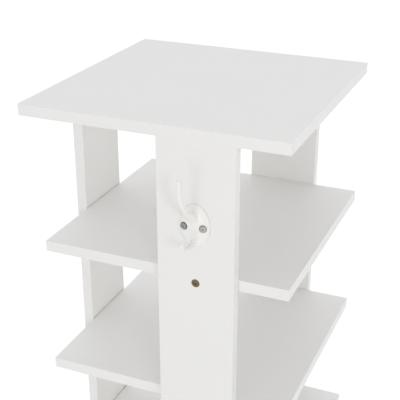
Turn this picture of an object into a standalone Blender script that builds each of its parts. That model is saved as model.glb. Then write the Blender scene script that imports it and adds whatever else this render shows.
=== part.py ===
# A white board tower for shoes. A square top panel stands on three uprights, which carry
# the shelves between them, and the right side is open. A double coat hook is screwed to
# the front upright.
#
# The tower's frame has its origin on the floor under the middle of the top panel. X runs along
# the front edge, Y from front to back and Z upwards. An upright's frame has its origin on the
# floor at the middle of the upright's outer face, with Y pointing into the tower.

import math

import bmesh
import bpy
from mathutils import Matrix, Vector
from mathutils.geometry import interpolate_bezier

# Boards, in metres
TOP_WIDTH = 0.350
TOP_DEPTH = 0.350
TOP_THICKNESS = 0.015
SHELF_THICKNESS = 0.015
UPRIGHT_WIDTH = 0.100
UPRIGHT_THICKNESS = 0.015
UPRIGHT_SETBACK = 0.064     # from the top's right edge to the front and back uprights
EDGE_EASE = 0.0003          # small round on every board edge

# Clear heights between the boards
SHELF_COUNT = 7
TOP_BAY = 0.176
SHELF_BAY = 0.168
FLOOR_SPACE = 0.026

# Gap left between pieces that touch, and how far a cutter runs past a face
FIT = 0.0003
OVERCUT = 0.001

# Connecting screws, one through each upright into each shelf edge
SCREW_HEAD = 0.0110
SCREW_SHANK = 0.0070
SCREW_CORE = 0.0050
SCREW_LENGTH = 0.0500
SCREW_POINT = 0.0040
SCREW_POINT_END = 0.0020
SCREW_SINK = 0.0002         # head's depth below the board face
SOCKET_FLATS = 0.0040
SOCKET_DEPTH = 0.0026

# Hidden cam locks and dowels that hold the top on the uprights
TOP_COVER = 0.004           # board left above the blind holes in the top
CAM_DIAMETER = 0.0150
CAM_DROP = 0.0240           # from the end of the upright to the middle of the cam
CAM_COVER = 0.0030          # board left behind the cam
CAM_SLOT_LENGTH = 0.0080
CAM_SLOT_WIDTH = 0.0012
CAM_SLOT_DEPTH = 0.0020
BOLT_THREAD = 0.0060
BOLT_NECK = 0.0040
BOLT_HEAD = 0.0066
BOLT_HEAD_LENGTH = 0.0040
DOWEL_DIAMETER = 0.0080
DOWEL_LENGTH = 0.0300
DOWEL_CHAMFER = 0.0008
DOWEL_SPACING = 0.0640

# Floor glides, two under each upright
GLIDE_DIAMETER = 0.0130
GLIDE_HEIGHT = 0.0040
GLIDE_ROUND = 0.0010
GLIDE_SPACING = 0.0700
PIN_DIAMETER = 0.0030
PIN_LENGTH = 0.0120
PIN_POINT_END = 0.0010

# Coat hook: a domed oval plate with a long upper prong and a short lower one. A prong's middle
# line is a curve from the plate to its tip. It leaves and arrives at an angle above the level,
# and the pull is the length of the curve's handle there. Rises are from the middle of the plate.
HOOK_DROP = 0.1055          # from the top's underside to the middle of the plate
PLATE_WIDTH = 0.039
PLATE_HEIGHT = 0.056
PLATE_RIM = 0.0030
PLATE_ROUND = 0.0010
PLATE_CROWN = 0.0070
PRONG_ROOT_DEPTH = 0.0015   # where the prongs start, from the back of the plate
PRONG_FLARE = 5.0           # how fast a prong thins out from its root
UPPER_ROOT = 0.0150
UPPER_TIP = 0.0055
UPPER_START_RISE = 0.0100
UPPER_TIP_RISE = 0.0744
UPPER_TIP_REACH = 0.0460
UPPER_LEAVES = math.radians(26)
UPPER_LEAVES_PULL = 0.0284
UPPER_ARRIVES = math.radians(88.5)
UPPER_ARRIVES_PULL = 0.0374
LOWER_ROOT = 0.0080
LOWER_TIP = 0.0057
LOWER_START_RISE = -0.0190
LOWER_TIP_RISE = -0.0070
LOWER_TIP_REACH = 0.0370
LOWER_LEAVES = math.radians(-32)
LOWER_LEAVES_PULL = 0.0171
LOWER_ARRIVES = math.radians(156)
LOWER_ARRIVES_PULL = 0.0098

# Screws of the hook, at mid-height of the plate
HOOK_SCREW_EDGE = 0.0070    # from the side of the plate to the screw
HOOK_SCREW_HEAD = 0.0090
HOOK_SCREW_HEAD_HEIGHT = 0.0026
HOOK_SCREW_HEAD_RIM = 0.0010    # straight side of the head
HOOK_SCREW_HEAD_FLAT = 0.0054   # flat on top of the head, across
HOOK_SCREW_SHANK = 0.0036
HOOK_SCREW_POINT = 0.0030
HOOK_SCREW_POINT_END = 0.0012
HOOK_SCREW_COVER = 0.0030   # board left behind the point
HOOK_SEAT_MARGIN = 0.0005   # flat round the head
RECESS_LENGTH = 0.0048
RECESS_WIDTH = 0.0011
RECESS_DEPTH = 0.0015

# Facets round a full turn, and steps along rounded shapes
SCREW_SIDES = 14
HIDDEN_SIDES = 10
CAM_SIDES = 20
GLIDE_SIDES = 14
PLATE_SIDES = 36
PLATE_RINGS = 6
PRONG_SIDES = 12
PRONG_STEPS = 13
TIP_TURNS = [math.radians(degrees) for degrees in (30, 55, 78)]
EDGE_STEPS = 2
SMOOTH_BELOW = math.radians(38)

# Heights and places that follow from the sizes above
UNDER_TOP = FLOOR_SPACE + SHELF_COUNT * SHELF_THICKNESS + (SHELF_COUNT - 1) * SHELF_BAY + TOP_BAY
SHELF_TOPS = [UNDER_TOP - TOP_BAY - k * (SHELF_THICKNESS + SHELF_BAY) for k in range(SHELF_COUNT)]
UPRIGHT_FOOT = GLIDE_HEIGHT + FIT
UPRIGHT_HEAD = UNDER_TOP - FIT
UPRIGHT_MIDDLE = UPRIGHT_THICKNESS / 2
SIDE_X = TOP_WIDTH / 2 - UPRIGHT_SETBACK - UPRIGHT_WIDTH / 2
TOP_HOLE = TOP_THICKNESS - TOP_COVER
CAM_Z = UPRIGHT_HEAD - CAM_DROP
CAM_LENGTH = UPRIGHT_THICKNESS - CAM_COVER - FIT
HOOK_Z = UNDER_TOP - HOOK_DROP
HOOK_SCREW_X = PLATE_WIDTH / 2 - HOOK_SCREW_EDGE
HOOK_SEAT = HOOK_SCREW_HEAD + 2 * HOOK_SEAT_MARGIN

PAIR = ("a", -1), ("b", 1)   # letter and direction of pieces that stand to both sides
INWARD = Matrix.Rotation(-math.pi / 2, 4, "X")   # turns a piece's Z to point into the tower
OUTWARD = Matrix.Rotation(math.pi / 2, 4, "X")


def at(x, y, z, turn=None):
    place = Matrix.Translation((x, y, z))
    return place if turn is None else place @ turn


# Shapes

def finished(bm):
    bmesh.ops.recalc_face_normals(bm, faces=bm.faces)
    mesh = bpy.data.meshes.new("shape")
    bm.to_mesh(mesh)
    bm.free()
    return mesh


def block(low, high, ease=0.0):
    size = [b - a for a, b in zip(low, high)]
    middle = [(a + b) / 2 for a, b in zip(low, high)]
    bm = bmesh.new()
    bmesh.ops.create_cube(bm, size=1, matrix=at(*middle) @ Matrix.Diagonal((*size, 1)))
    if ease:
        bmesh.ops.bevel(bm, geom=bm.edges[:], offset=ease, segments=EDGE_STEPS, profile=0.5, affect="EDGES")
    return finished(bm)


def skin(rings):
    # a closed body through rings of points, with a flat end on the first and the last
    bm = bmesh.new()
    loops = [[bm.verts.new(point) for point in points] for points in rings]
    for lower, upper in zip(loops, loops[1:]):
        for k in range(len(lower)):
            following = (k + 1) % len(lower)
            bm.faces.new((lower[k], lower[following], upper[following], upper[k]))
    bm.faces.new(reversed(loops[0]))
    bm.faces.new(loops[-1])
    return finished(bm)


def hoop(centre, radius, sides, across=Vector((1, 0, 0)), over=Vector((0, 1, 0)), over_radius=None):
    over_radius = radius if over_radius is None else over_radius
    points = []
    for k in range(sides):
        turn = 2 * math.pi * k / sides
        points.append(centre + across * radius * math.cos(turn) + over * over_radius * math.sin(turn))
    return points


def turned(profile, sides):
    # a body turned round Z, from pairs of diameter and height
    return skin([hoop(Vector((0, 0, height)), diameter / 2, sides) for diameter, height in profile])


def gathered(shapes):
    # one mesh from pairs of a shape and its place
    bm = bmesh.new()
    for mesh, place in shapes:
        known = len(bm.verts)
        bm.from_mesh(mesh)
        bm.verts.ensure_lookup_table()
        bmesh.ops.transform(bm, matrix=place, verts=bm.verts[known:])
    return finished(bm)


def combined(body, shapes, operation="DIFFERENCE"):
    # the body with a gathered set of shapes cut out of it or joined to it
    owner = bpy.data.objects.new("body", body)
    tool = bpy.data.objects.new("tool", gathered(shapes))
    for obj in (owner, tool):
        bpy.context.scene.collection.objects.link(obj)
    boolean = owner.modifiers.new("boolean", "BOOLEAN")
    boolean.operation = operation
    boolean.solver = "EXACT"
    boolean.object = tool
    solved = owner.evaluated_get(bpy.context.evaluated_depsgraph_get())
    mesh = bpy.data.meshes.new_from_object(solved)
    for obj in (owner, tool):
        bpy.data.objects.remove(obj)
    return mesh


def cross(length, width, low, high):
    # cutter for two slots that cross in the middle
    half = length / 2
    thin = width / 2
    slot = block((-half, -thin, low), (half, thin, high))
    crossing = block((-thin, -half, low), (thin, half, high))
    return combined(slot, [(crossing, at(0, 0, 0))], "UNION")


# Fasteners

def shelf_screw():
    shank_end = UPRIGHT_THICKNESS - SCREW_SINK - (SCREW_SHANK - SCREW_CORE) / 2
    body = turned([
        (SCREW_HEAD, 0),
        (SCREW_SHANK, (SCREW_HEAD - SCREW_SHANK) / 2),
        (SCREW_SHANK, shank_end),
        (SCREW_CORE, UPRIGHT_THICKNESS - SCREW_SINK),
        (SCREW_CORE, SCREW_LENGTH - SCREW_POINT),
        (SCREW_POINT_END, SCREW_LENGTH),
    ], SCREW_SIDES)
    corners = SOCKET_FLATS / math.cos(math.pi / 6)
    socket = turned([(corners, -OVERCUT), (corners, SOCKET_DEPTH)], 6)
    return combined(body, [(socket, at(0, 0, 0))])


def shelf_screw_hole():
    # clearance hole through an upright, countersunk from its outer face
    mouth = SCREW_HEAD + 2 * (FIT + SCREW_SINK + OVERCUT)
    shank = SCREW_SHANK + 2 * FIT
    return turned([
        (mouth, -OVERCUT),
        (shank, SCREW_SINK + (SCREW_HEAD - SCREW_SHANK) / 2),
        (shank, UPRIGHT_THICKNESS + OVERCUT),
    ], SCREW_SIDES)


def shelf_pilot_hole():
    # pilot hole in a shelf edge, on the same axis as the clearance hole
    pilot = SCREW_CORE + 2 * FIT
    return turned([(pilot, UPRIGHT_THICKNESS), (pilot, SCREW_SINK + SCREW_LENGTH + FIT)], SCREW_SIDES)


def bolt_profile(grow=0.0):
    # cam bolt from its head, at the middle of the cam, up into the top panel
    thread_start = CAM_DROP + FIT
    shoulder = thread_start - (BOLT_THREAD - BOLT_NECK) / 2
    return [
        (BOLT_NECK + 2 * grow, -BOLT_HEAD_LENGTH / 2 - grow),
        (BOLT_HEAD + 2 * grow, -BOLT_HEAD_LENGTH / 4 - grow),
        (BOLT_HEAD + 2 * grow, BOLT_HEAD_LENGTH / 4 + grow),
        (BOLT_NECK + 2 * grow, BOLT_HEAD_LENGTH / 2 + grow),
        (BOLT_NECK + 2 * grow, shoulder),
        (BOLT_THREAD + 2 * grow, thread_start),
        (BOLT_THREAD + 2 * grow, thread_start + TOP_HOLE - FIT + grow),
    ]


def cam():
    # disc from its slotted face at Z = 0, with a chamber for the bolt's head and neck
    diameter = CAM_DIAMETER - 2 * FIT
    body = turned([(diameter, 0), (diameter, CAM_LENGTH)], CAM_SIDES)
    slots = cross(CAM_SLOT_LENGTH, CAM_SLOT_WIDTH, -OVERCUT, CAM_SLOT_DEPTH)
    chamber = turned(bolt_profile(FIT), HIDDEN_SIDES)
    upwards = at(0, 0, UPRIGHT_THICKNESS - FIT - UPRIGHT_MIDDLE, INWARD)
    return combined(body, [(slots, at(0, 0, 0)), (chamber, upwards)])


def cam_pocket():
    # cutter for the disc, from an upright's inner face at Z = 0, and for the bolt above it
    pocket = turned([(CAM_DIAMETER, -OVERCUT), (CAM_DIAMETER, CAM_LENGTH + 2 * FIT)], CAM_SIDES)
    channel = straight_hole(BOLT_HEAD, 0, CAM_DROP + OVERCUT, HIDDEN_SIDES)
    upwards = at(0, 0, UPRIGHT_THICKNESS - UPRIGHT_MIDDLE, INWARD)
    return combined(pocket, [(channel, upwards)], "UNION")


def dowel():
    slim = DOWEL_DIAMETER - 2 * DOWEL_CHAMFER
    return turned([
        (slim, 0),
        (DOWEL_DIAMETER, DOWEL_CHAMFER),
        (DOWEL_DIAMETER, DOWEL_LENGTH - DOWEL_CHAMFER),
        (slim, DOWEL_LENGTH),
    ], HIDDEN_SIDES)


def glide():
    return turned([
        (GLIDE_DIAMETER - 2 * GLIDE_ROUND, 0),
        (GLIDE_DIAMETER, GLIDE_ROUND),
        (GLIDE_DIAMETER, GLIDE_HEIGHT),
        (PIN_DIAMETER, GLIDE_HEIGHT),
        (PIN_DIAMETER, GLIDE_HEIGHT + PIN_LENGTH - PIN_DIAMETER),
        (PIN_POINT_END, GLIDE_HEIGHT + PIN_LENGTH),
    ], GLIDE_SIDES)


def straight_hole(diameter, start, end, sides):
    return turned([(diameter + 2 * FIT, start), (diameter + 2 * FIT, end)], sides)


# Coat hook, in a frame at the middle of the plate's back, with Z outwards and Y upwards

def dome(share):
    # height of the plate at a share of the way from its middle to its outline
    return PLATE_RIM + (PLATE_CROWN - PLATE_RIM) * (1 - share ** 2)


def plate():
    outline = [(1.0, 0.0), (1.0, PLATE_RIM - PLATE_ROUND)]
    crown = 1 - PLATE_ROUND / (PLATE_WIDTH / 2)
    shares = [crown * k / PLATE_RINGS for k in range(PLATE_RINGS, 0, -1)]
    stations = outline + [(share, dome(share)) for share in shares]
    return skin([hoop(Vector((0, 0, height)), share * PLATE_WIDTH / 2, PLATE_SIDES,
                      over_radius=share * PLATE_HEIGHT / 2) for share, height in stations])


def handle(point, angle, pull):
    # the end of a curve's handle, in the plate's middle plane
    return point + pull * Vector((0, math.sin(angle), math.cos(angle)))


def prong(root_point, leaving, tip_point, arriving, root, tip):
    # tapered rod along a curve, with a round tip
    path = interpolate_bezier(root_point, leaving, arriving, tip_point, PRONG_STEPS + 1)
    across = Vector((1, 0, 0))
    along = Vector((0, 0, 1))
    rings = []
    for k, centre in enumerate(path):
        if k:
            along = (path[min(k + 1, PRONG_STEPS)] - path[k - 1]).normalized()
        thickness = tip + (root - tip) * (1 - k / PRONG_STEPS) ** PRONG_FLARE
        rings.append(hoop(centre, thickness / 2, PRONG_SIDES, across, along.cross(across)))
    for turn in TIP_TURNS:
        centre = path[-1] + along * tip / 2 * math.sin(turn)
        rings.append(hoop(centre, tip / 2 * math.cos(turn), PRONG_SIDES, across, along.cross(across)))
    return skin(rings)


def upper_prong():
    start = Vector((0, UPPER_START_RISE, PRONG_ROOT_DEPTH))
    end = Vector((0, UPPER_TIP_RISE, UPPER_TIP_REACH))
    leaving = handle(start, UPPER_LEAVES, UPPER_LEAVES_PULL)
    arriving = handle(end, UPPER_ARRIVES, -UPPER_ARRIVES_PULL)
    return prong(start, leaving, end, arriving, UPPER_ROOT, UPPER_TIP)


def lower_prong():
    start = Vector((0, LOWER_START_RISE, PRONG_ROOT_DEPTH))
    end = Vector((0, LOWER_TIP_RISE, LOWER_TIP_REACH))
    leaving = handle(start, LOWER_LEAVES, LOWER_LEAVES_PULL)
    arriving = handle(end, LOWER_ARRIVES, -LOWER_ARRIVES_PULL)
    return prong(start, leaving, end, arriving, LOWER_ROOT, LOWER_TIP)


def hook_seat_height():
    # the flat under a screw head is as high as the dome at the head's outer side
    return dome((HOOK_SCREW_X + HOOK_SEAT / 2) / (PLATE_WIDTH / 2))


def coat_hook():
    casting = combined(plate(), [(upper_prong(), at(0, 0, 0))], "UNION")
    casting = combined(casting, [(lower_prong(), at(0, 0, 0))], "UNION")
    shank = HOOK_SCREW_SHANK + 2 * FIT
    seat = hook_seat_height()
    hole = turned([
        (shank, -OVERCUT),
        (shank, seat),
        (HOOK_SEAT, seat),
        (HOOK_SEAT, PLATE_CROWN + OVERCUT),
    ], SCREW_SIDES)
    return combined(casting, [(hole, at(side * HOOK_SCREW_X, 0, 0)) for side in (-1, 1)])


def hook_screw_length():
    return FIT + hook_seat_height() + UPRIGHT_THICKNESS - HOOK_SCREW_COVER


def hook_screw():
    # from its point at Z = 0 outwards to a round head
    under_head = hook_screw_length() + FIT
    rim = under_head + HOOK_SCREW_HEAD_RIM
    top = under_head + HOOK_SCREW_HEAD_HEIGHT
    round_edge = HOOK_SCREW_HEAD - HOOK_SCREW_HEAD_FLAT
    halfway = math.sin(math.pi / 4)
    body = turned([
        (HOOK_SCREW_POINT_END, 0),
        (HOOK_SCREW_SHANK, HOOK_SCREW_POINT),
        (HOOK_SCREW_SHANK, under_head),
        (HOOK_SCREW_HEAD, under_head),
        (HOOK_SCREW_HEAD, rim),
        (HOOK_SCREW_HEAD_FLAT + round_edge * halfway, rim + (top - rim) * halfway),
        (HOOK_SCREW_HEAD_FLAT, top),
    ], SCREW_SIDES)
    recess = cross(RECESS_LENGTH, RECESS_WIDTH, top - RECESS_DEPTH, top + OVERCUT)
    return combined(body, [(recess, at(0, 0, 0))])


# Boards

def upright(with_hook):
    half = UPRIGHT_WIDTH / 2
    board = block((-half, 0, UPRIGHT_FOOT), (half, UPRIGHT_THICKNESS, UPRIGHT_HEAD), EDGE_EASE)
    through = shelf_screw_hole()
    drilled = [(through, at(0, 0, top - SHELF_THICKNESS / 2, INWARD)) for top in SHELF_TOPS]
    drilled.append((cam_pocket(), at(0, UPRIGHT_THICKNESS, CAM_Z, OUTWARD)))
    dowel_hole = straight_hole(DOWEL_DIAMETER, UPRIGHT_HEAD - DOWEL_LENGTH + TOP_HOLE - 2 * FIT,
                               UPRIGHT_HEAD + OVERCUT, HIDDEN_SIDES)
    pin_hole = straight_hole(PIN_DIAMETER, UPRIGHT_FOOT - OVERCUT,
                             GLIDE_HEIGHT + PIN_LENGTH + FIT, HIDDEN_SIDES)
    for side in (-1, 1):
        drilled.append((dowel_hole, at(side * DOWEL_SPACING / 2, UPRIGHT_MIDDLE, 0)))
        drilled.append((pin_hole, at(side * GLIDE_SPACING / 2, UPRIGHT_MIDDLE, 0)))
    if with_hook:
        pilot = straight_hole(HOOK_SCREW_SHANK, -OVERCUT,
                              UPRIGHT_THICKNESS - HOOK_SCREW_COVER + FIT, HIDDEN_SIDES)
        drilled += [(pilot, at(side * HOOK_SCREW_X, 0, HOOK_Z, INWARD)) for side in (-1, 1)]
    return combined(board, drilled)


def top_panel(frames):
    # from its underside at Z = 0 upwards
    corner = (TOP_WIDTH / 2, TOP_DEPTH / 2, TOP_THICKNESS)
    board = block((-corner[0], -corner[1], 0), corner, EDGE_EASE)
    dowel_hole = straight_hole(DOWEL_DIAMETER, -OVERCUT, TOP_HOLE, HIDDEN_SIDES)
    bolt_hole = straight_hole(BOLT_THREAD, -OVERCUT, TOP_HOLE, HIDDEN_SIDES)
    drilled = []
    for frame in frames.values():
        drilled.append((bolt_hole, frame @ at(0, UPRIGHT_MIDDLE, 0)))
        for side in (-1, 1):
            drilled.append((dowel_hole, frame @ at(side * DOWEL_SPACING / 2, UPRIGHT_MIDDLE, 0)))
    return combined(board, drilled)


def shelf(frames):
    # from its top face at Z = 0 downwards, between the inner faces of the uprights
    wall = UPRIGHT_THICKNESS + FIT
    low = (wall - TOP_WIDTH / 2, wall - TOP_DEPTH / 2, -SHELF_THICKNESS)
    high = (TOP_WIDTH / 2, TOP_DEPTH / 2 - wall, 0)
    pilot = shelf_pilot_hole()
    places = [frame @ at(0, 0, -SHELF_THICKNESS / 2, INWARD) for frame in frames.values()]
    return combined(block(low, high, EDGE_EASE), [(pilot, place) for place in places])


# Finishes

def finish(name, colour, roughness, metallic=0.0):
    material = bpy.data.materials.new(name)
    material.use_nodes = True
    shader = material.node_tree.nodes["Principled BSDF"]
    shader.inputs["Base Color"].default_value = (*colour, 1)
    shader.inputs["Roughness"].default_value = roughness
    shader.inputs["Metallic"].default_value = metallic
    return material


# Assembly

def frame_empty(name, place, parent=None):
    empty = bpy.data.objects.new(name, None)
    bpy.context.scene.collection.objects.link(empty)
    empty.parent = parent
    empty.matrix_basis = place
    return empty


def add(name, mesh, material, parent, place):
    if not mesh.materials:
        mesh.materials.append(material)
        mesh.shade_smooth()
        mesh.set_sharp_from_angle(angle=SMOOTH_BELOW)
    piece = bpy.data.objects.new(name, mesh)
    bpy.context.scene.collection.objects.link(piece)
    piece.parent = parent
    piece.matrix_basis = place
    return piece


def build():
    for obj in list(bpy.data.objects):
        bpy.data.objects.remove(obj, do_unlink=True)

    white = finish("white_melamine_board", (0.89, 0.885, 0.867), 0.42)
    enamel = finish("white_enamel", (0.88, 0.87, 0.835), 0.30)
    steel = finish("plain_steel", (0.46, 0.46, 0.45), 0.35, 1.0)
    bronze = finish("bronzed_steel", (0.30, 0.22, 0.13), 0.40, 1.0)
    zinc = finish("zinc_casting", (0.52, 0.53, 0.54), 0.45, 1.0)
    beech = finish("beech", (0.60, 0.43, 0.26), 0.70)
    nylon = finish("white_nylon", (0.74, 0.73, 0.70), 0.50)

    frames = {
        "front": at(SIDE_X, -TOP_DEPTH / 2, 0),
        "back": at(SIDE_X, TOP_DEPTH / 2, 0, Matrix.Rotation(math.pi, 4, "Z")),
        "left": at(-TOP_WIDTH / 2, 0, 0, Matrix.Rotation(-math.pi / 2, 4, "Z")),
    }

    # the hook stands proud of the front, so the tower moves back by half of that
    # and the origin stays under the middle of the whole object
    hook = coat_hook()
    hook_depth = FIT + max(vertex.co.z for vertex in hook.vertices)
    tower = frame_empty("tower", at(0, hook_depth / 2, 0))

    add("top_panel", top_panel(frames), white, tower, at(0, 0, UNDER_TOP))
    shelf_board = shelf(frames)
    for number, height in enumerate(SHELF_TOPS, 1):
        add(f"shelf_{number}", shelf_board, white, tower, at(0, 0, height))

    boards = {"front": upright(True), "back": upright(False)}
    boards["left"] = boards["back"]
    screw = shelf_screw()
    cam_disc = cam()
    cam_bolt = turned(bolt_profile(), HIDDEN_SIDES)
    peg = dowel()
    peg_foot = UNDER_TOP + TOP_HOLE - FIT - DOWEL_LENGTH
    foot = glide()
    for side, frame in frames.items():
        stand = frame_empty(f"{side}_frame", frame, tower)
        add(f"upright_{side}", boards[side], white, stand, at(0, 0, 0))
        for number, height in enumerate(SHELF_TOPS, 1):
            place = at(0, SCREW_SINK, height - SHELF_THICKNESS / 2, INWARD)
            add(f"shelf_{number}_screw_{side}", screw, bronze, stand, place)
        add(f"cam_{side}", cam_disc, zinc, stand, at(0, UPRIGHT_THICKNESS - FIT, CAM_Z, OUTWARD))
        add(f"cam_bolt_{side}", cam_bolt, steel, stand, at(0, UPRIGHT_MIDDLE, CAM_Z))
        for letter, across in PAIR:
            place = at(across * DOWEL_SPACING / 2, UPRIGHT_MIDDLE, peg_foot)
            add(f"dowel_{side}_{letter}", peg, beech, stand, place)
            place = at(across * GLIDE_SPACING / 2, UPRIGHT_MIDDLE, 0)
            add(f"glide_{side}_{letter}", foot, nylon, stand, place)
        if side == "front":
            add("coat_hook", hook, enamel, stand, at(0, -FIT, HOOK_Z, OUTWARD))
            fixing = hook_screw()
            for letter, across in PAIR:
                point = at(across * HOOK_SCREW_X, UPRIGHT_THICKNESS - HOOK_SCREW_COVER, HOOK_Z, OUTWARD)
                add(f"hook_screw_{letter}", fixing, steel, stand, point)


build()
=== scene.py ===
import math

import bmesh
import bpy
from mathutils import Matrix, Vector
from mathutils.geometry import interpolate_bezier


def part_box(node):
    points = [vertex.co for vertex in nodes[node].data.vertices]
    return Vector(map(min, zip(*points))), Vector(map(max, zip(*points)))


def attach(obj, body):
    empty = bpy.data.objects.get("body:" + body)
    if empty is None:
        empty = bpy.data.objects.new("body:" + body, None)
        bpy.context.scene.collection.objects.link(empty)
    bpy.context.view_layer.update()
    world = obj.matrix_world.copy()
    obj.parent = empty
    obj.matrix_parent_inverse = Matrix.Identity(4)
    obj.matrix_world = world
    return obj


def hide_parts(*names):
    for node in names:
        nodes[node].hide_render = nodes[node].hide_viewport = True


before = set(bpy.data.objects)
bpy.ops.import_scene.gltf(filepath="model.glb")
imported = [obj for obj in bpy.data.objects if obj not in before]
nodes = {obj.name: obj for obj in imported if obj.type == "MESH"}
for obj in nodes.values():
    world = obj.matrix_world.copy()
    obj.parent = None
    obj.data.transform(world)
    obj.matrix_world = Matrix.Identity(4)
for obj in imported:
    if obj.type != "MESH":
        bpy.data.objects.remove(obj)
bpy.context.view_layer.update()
print("shoe tower: frame loaded,", len(nodes), "nodes")

mm = 0.001
noiseMiddle = 0.5  # what a noise gives on average


# sockets that take part in sums, and the bench that lays out nodes

class Wire:
    def __init__(self, bench, socket):
        self.bench = bench
        self.socket = socket

    def also(self, name):  # another output of the same node
        return Wire(self.bench, self.socket.node.outputs[name])

    def __add__(self, other):
        return self.bench.maths("ADD", self, other)

    def __radd__(self, other):
        return self.bench.maths("ADD", other, self)

    def __sub__(self, other):
        return self.bench.maths("SUBTRACT", self, other)

    def __rsub__(self, other):
        return self.bench.maths("SUBTRACT", other, self)

    def __mul__(self, other):
        return self.bench.maths("MULTIPLY", self, other)

    def __rmul__(self, other):
        return self.bench.maths("MULTIPLY", other, self)

    def __truediv__(self, other):
        return self.bench.maths("DIVIDE", self, other)

    def __neg__(self):
        return self.bench.maths("MULTIPLY", self, -1)

    def __abs__(self):
        return self.bench.maths("ABSOLUTE", self, 0)


class Bench:
    def __init__(self, tree):
        self.tree = tree

    def node(self, kind, settings=None, values=None, output=0):
        made = self.tree.nodes.new(kind)
        for key, value in (settings or {}).items():
            if key == "items":  # slots of an index switch beyond its first two
                for _ in range(value - 2):
                    made.index_switch_items.new()
            else:
                setattr(made, key, value)
        for key, value in (values or {}).items():
            for single in value if isinstance(value, list) else [value]:
                if isinstance(single, Wire):
                    self.tree.links.new(single.socket, made.inputs[key])
                else:
                    made.inputs[key].default_value = single
        return Wire(self, made.outputs[output]) if made.outputs else made

    def maths(self, operation, first, second):
        return self.node("ShaderNodeMath", {"operation": operation}, {0: first, 1: second})

    def noise(self, place, scale, detail=2.0, roughness=0.5):
        return self.node("ShaderNodeTexNoise", {}, {
            "Vector": place, "Scale": scale, "Detail": detail, "Roughness": roughness})

    def between(self, value, low, high, start=0.0, end=1.0):  # smooth step from start to end
        return self.node("ShaderNodeMapRange", {"interpolation_type": "SMOOTHSTEP"}, {
            "Value": value, "From Min": low, "From Max": high, "To Min": start, "To Max": end})

    def tint(self, factor, first, second):  # 6, 7 and 2 are a Mix node's colours
        return self.node("ShaderNodeMix", {"data_type": "RGBA"}, {0: factor, 6: first, 7: second}, 2)

    def bump(self, height, distance, strength):
        return self.node("ShaderNodeBump", {}, {"Height": height, "Distance": distance, "Strength": strength})

    def split(self, vector):
        parts = self.node("ShaderNodeSeparateXYZ", {}, {0: vector})
        return [parts, parts.also("Y"), parts.also("Z")]

    def place(self):
        return self.node("ShaderNodeTexCoord", {}, {}, "Object")

    def stretched(self, place, scale):
        return self.node("ShaderNodeMapping", {}, {"Vector": place, "Scale": scale})


def opaque(colour):
    return (*colour, 1.0)


def scaled(colour, factor):
    return opaque(channel * factor for channel in colour)


def newFinish(name, **constants):  # constants sit on the shader's own sockets
    material = bpy.data.materials.new(name)
    material.use_nodes = True
    bench = Bench(material.node_tree)
    shader = material.node_tree.nodes["Principled BSDF"]
    for key, value in constants.items():
        shader.inputs[key.replace("_", " ")].default_value = value
    return material, bench, shader


def feed(bench, shader, **wires):
    for key, wire in wires.items():
        bench.tree.links.new(wire.socket, shader.inputs[key.replace("_", " ")])


def dress(piece, material):
    piece.data.materials.clear()
    piece.data.materials.append(material)


def addObject(name, data):
    made = bpy.data.objects.new(name, data)
    bpy.context.scene.collection.objects.link(made)
    return made


def meshFrom(bm, name):
    mesh = bpy.data.meshes.new(name)
    bm.to_mesh(mesh)
    bm.free()
    return mesh


def evaluatedMesh(holder):
    return bpy.data.meshes.new_from_object(holder.evaluated_get(bpy.context.evaluated_depsgraph_get()))


# Geometry Nodes: a profile turned round Z, recesses cut in, set on every seat

turning = {
    "easeSteps": 3,              # points in an eased corner of the profile
    "axisRadius": 0.001 * mm,    # ring that the profile goes round
    "mergeDistance": 0.004 * mm,
    "threadSteps": 16,           # points in one turn of a thread
    "threadSides": 3,
    "bladeTaper": 0.45,          # lower end of a cutting blade, as a share of its upper end
    "crossDrop": 1.06,           # the second blade goes a little deeper than the first
    "sharpAngle": 32.0,          # degrees between faces that meet in a crisp edge
}
# the hook screws' seed gives the left screw a low value, so that it comes out darker: painted shade
seeds = {"shelfScrews": 11, "hookScrews": 14, "cams": 23, "glides": 31}  # for turns, and for wear and painted shade


def newTree(name, sizes):
    tree = bpy.data.node_groups.new(name, "GeometryNodeTree")
    tree.interface.new_socket(name="Seats", in_out="INPUT", socket_type="NodeSocketGeometry")
    for key, value in sizes.items():
        kind = "NodeSocketInt" if isinstance(value, int) else "NodeSocketFloat"
        tree.interface.new_socket(name=key, in_out="INPUT", socket_type=kind)
    tree.interface.new_socket(name="finish", in_out="INPUT", socket_type="NodeSocketMaterial")
    tree.interface.new_socket(name="Pieces", in_out="OUTPUT", socket_type="NodeSocketGeometry")
    bench = Bench(tree)
    entry = bench.node("NodeGroupInput")
    return bench, {socket.name: Wire(bench, socket) for socket in entry.socket.node.outputs if socket.name}


def endTree(bench, geometry, finish):
    real = bench.node("GeometryNodeRealizeInstances", {}, {"Geometry": geometry})
    dressed = bench.node("GeometryNodeSetMaterial", {}, {"Geometry": real, "Material": finish})
    bench.node("NodeGroupOutput", {}, {0: dressed})


def carried(bench, name, kind="FLOAT_VECTOR"):  # value that each seat brings along
    return bench.node("GeometryNodeInputNamedAttribute", {"data_type": kind}, {"Name": name})


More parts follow.
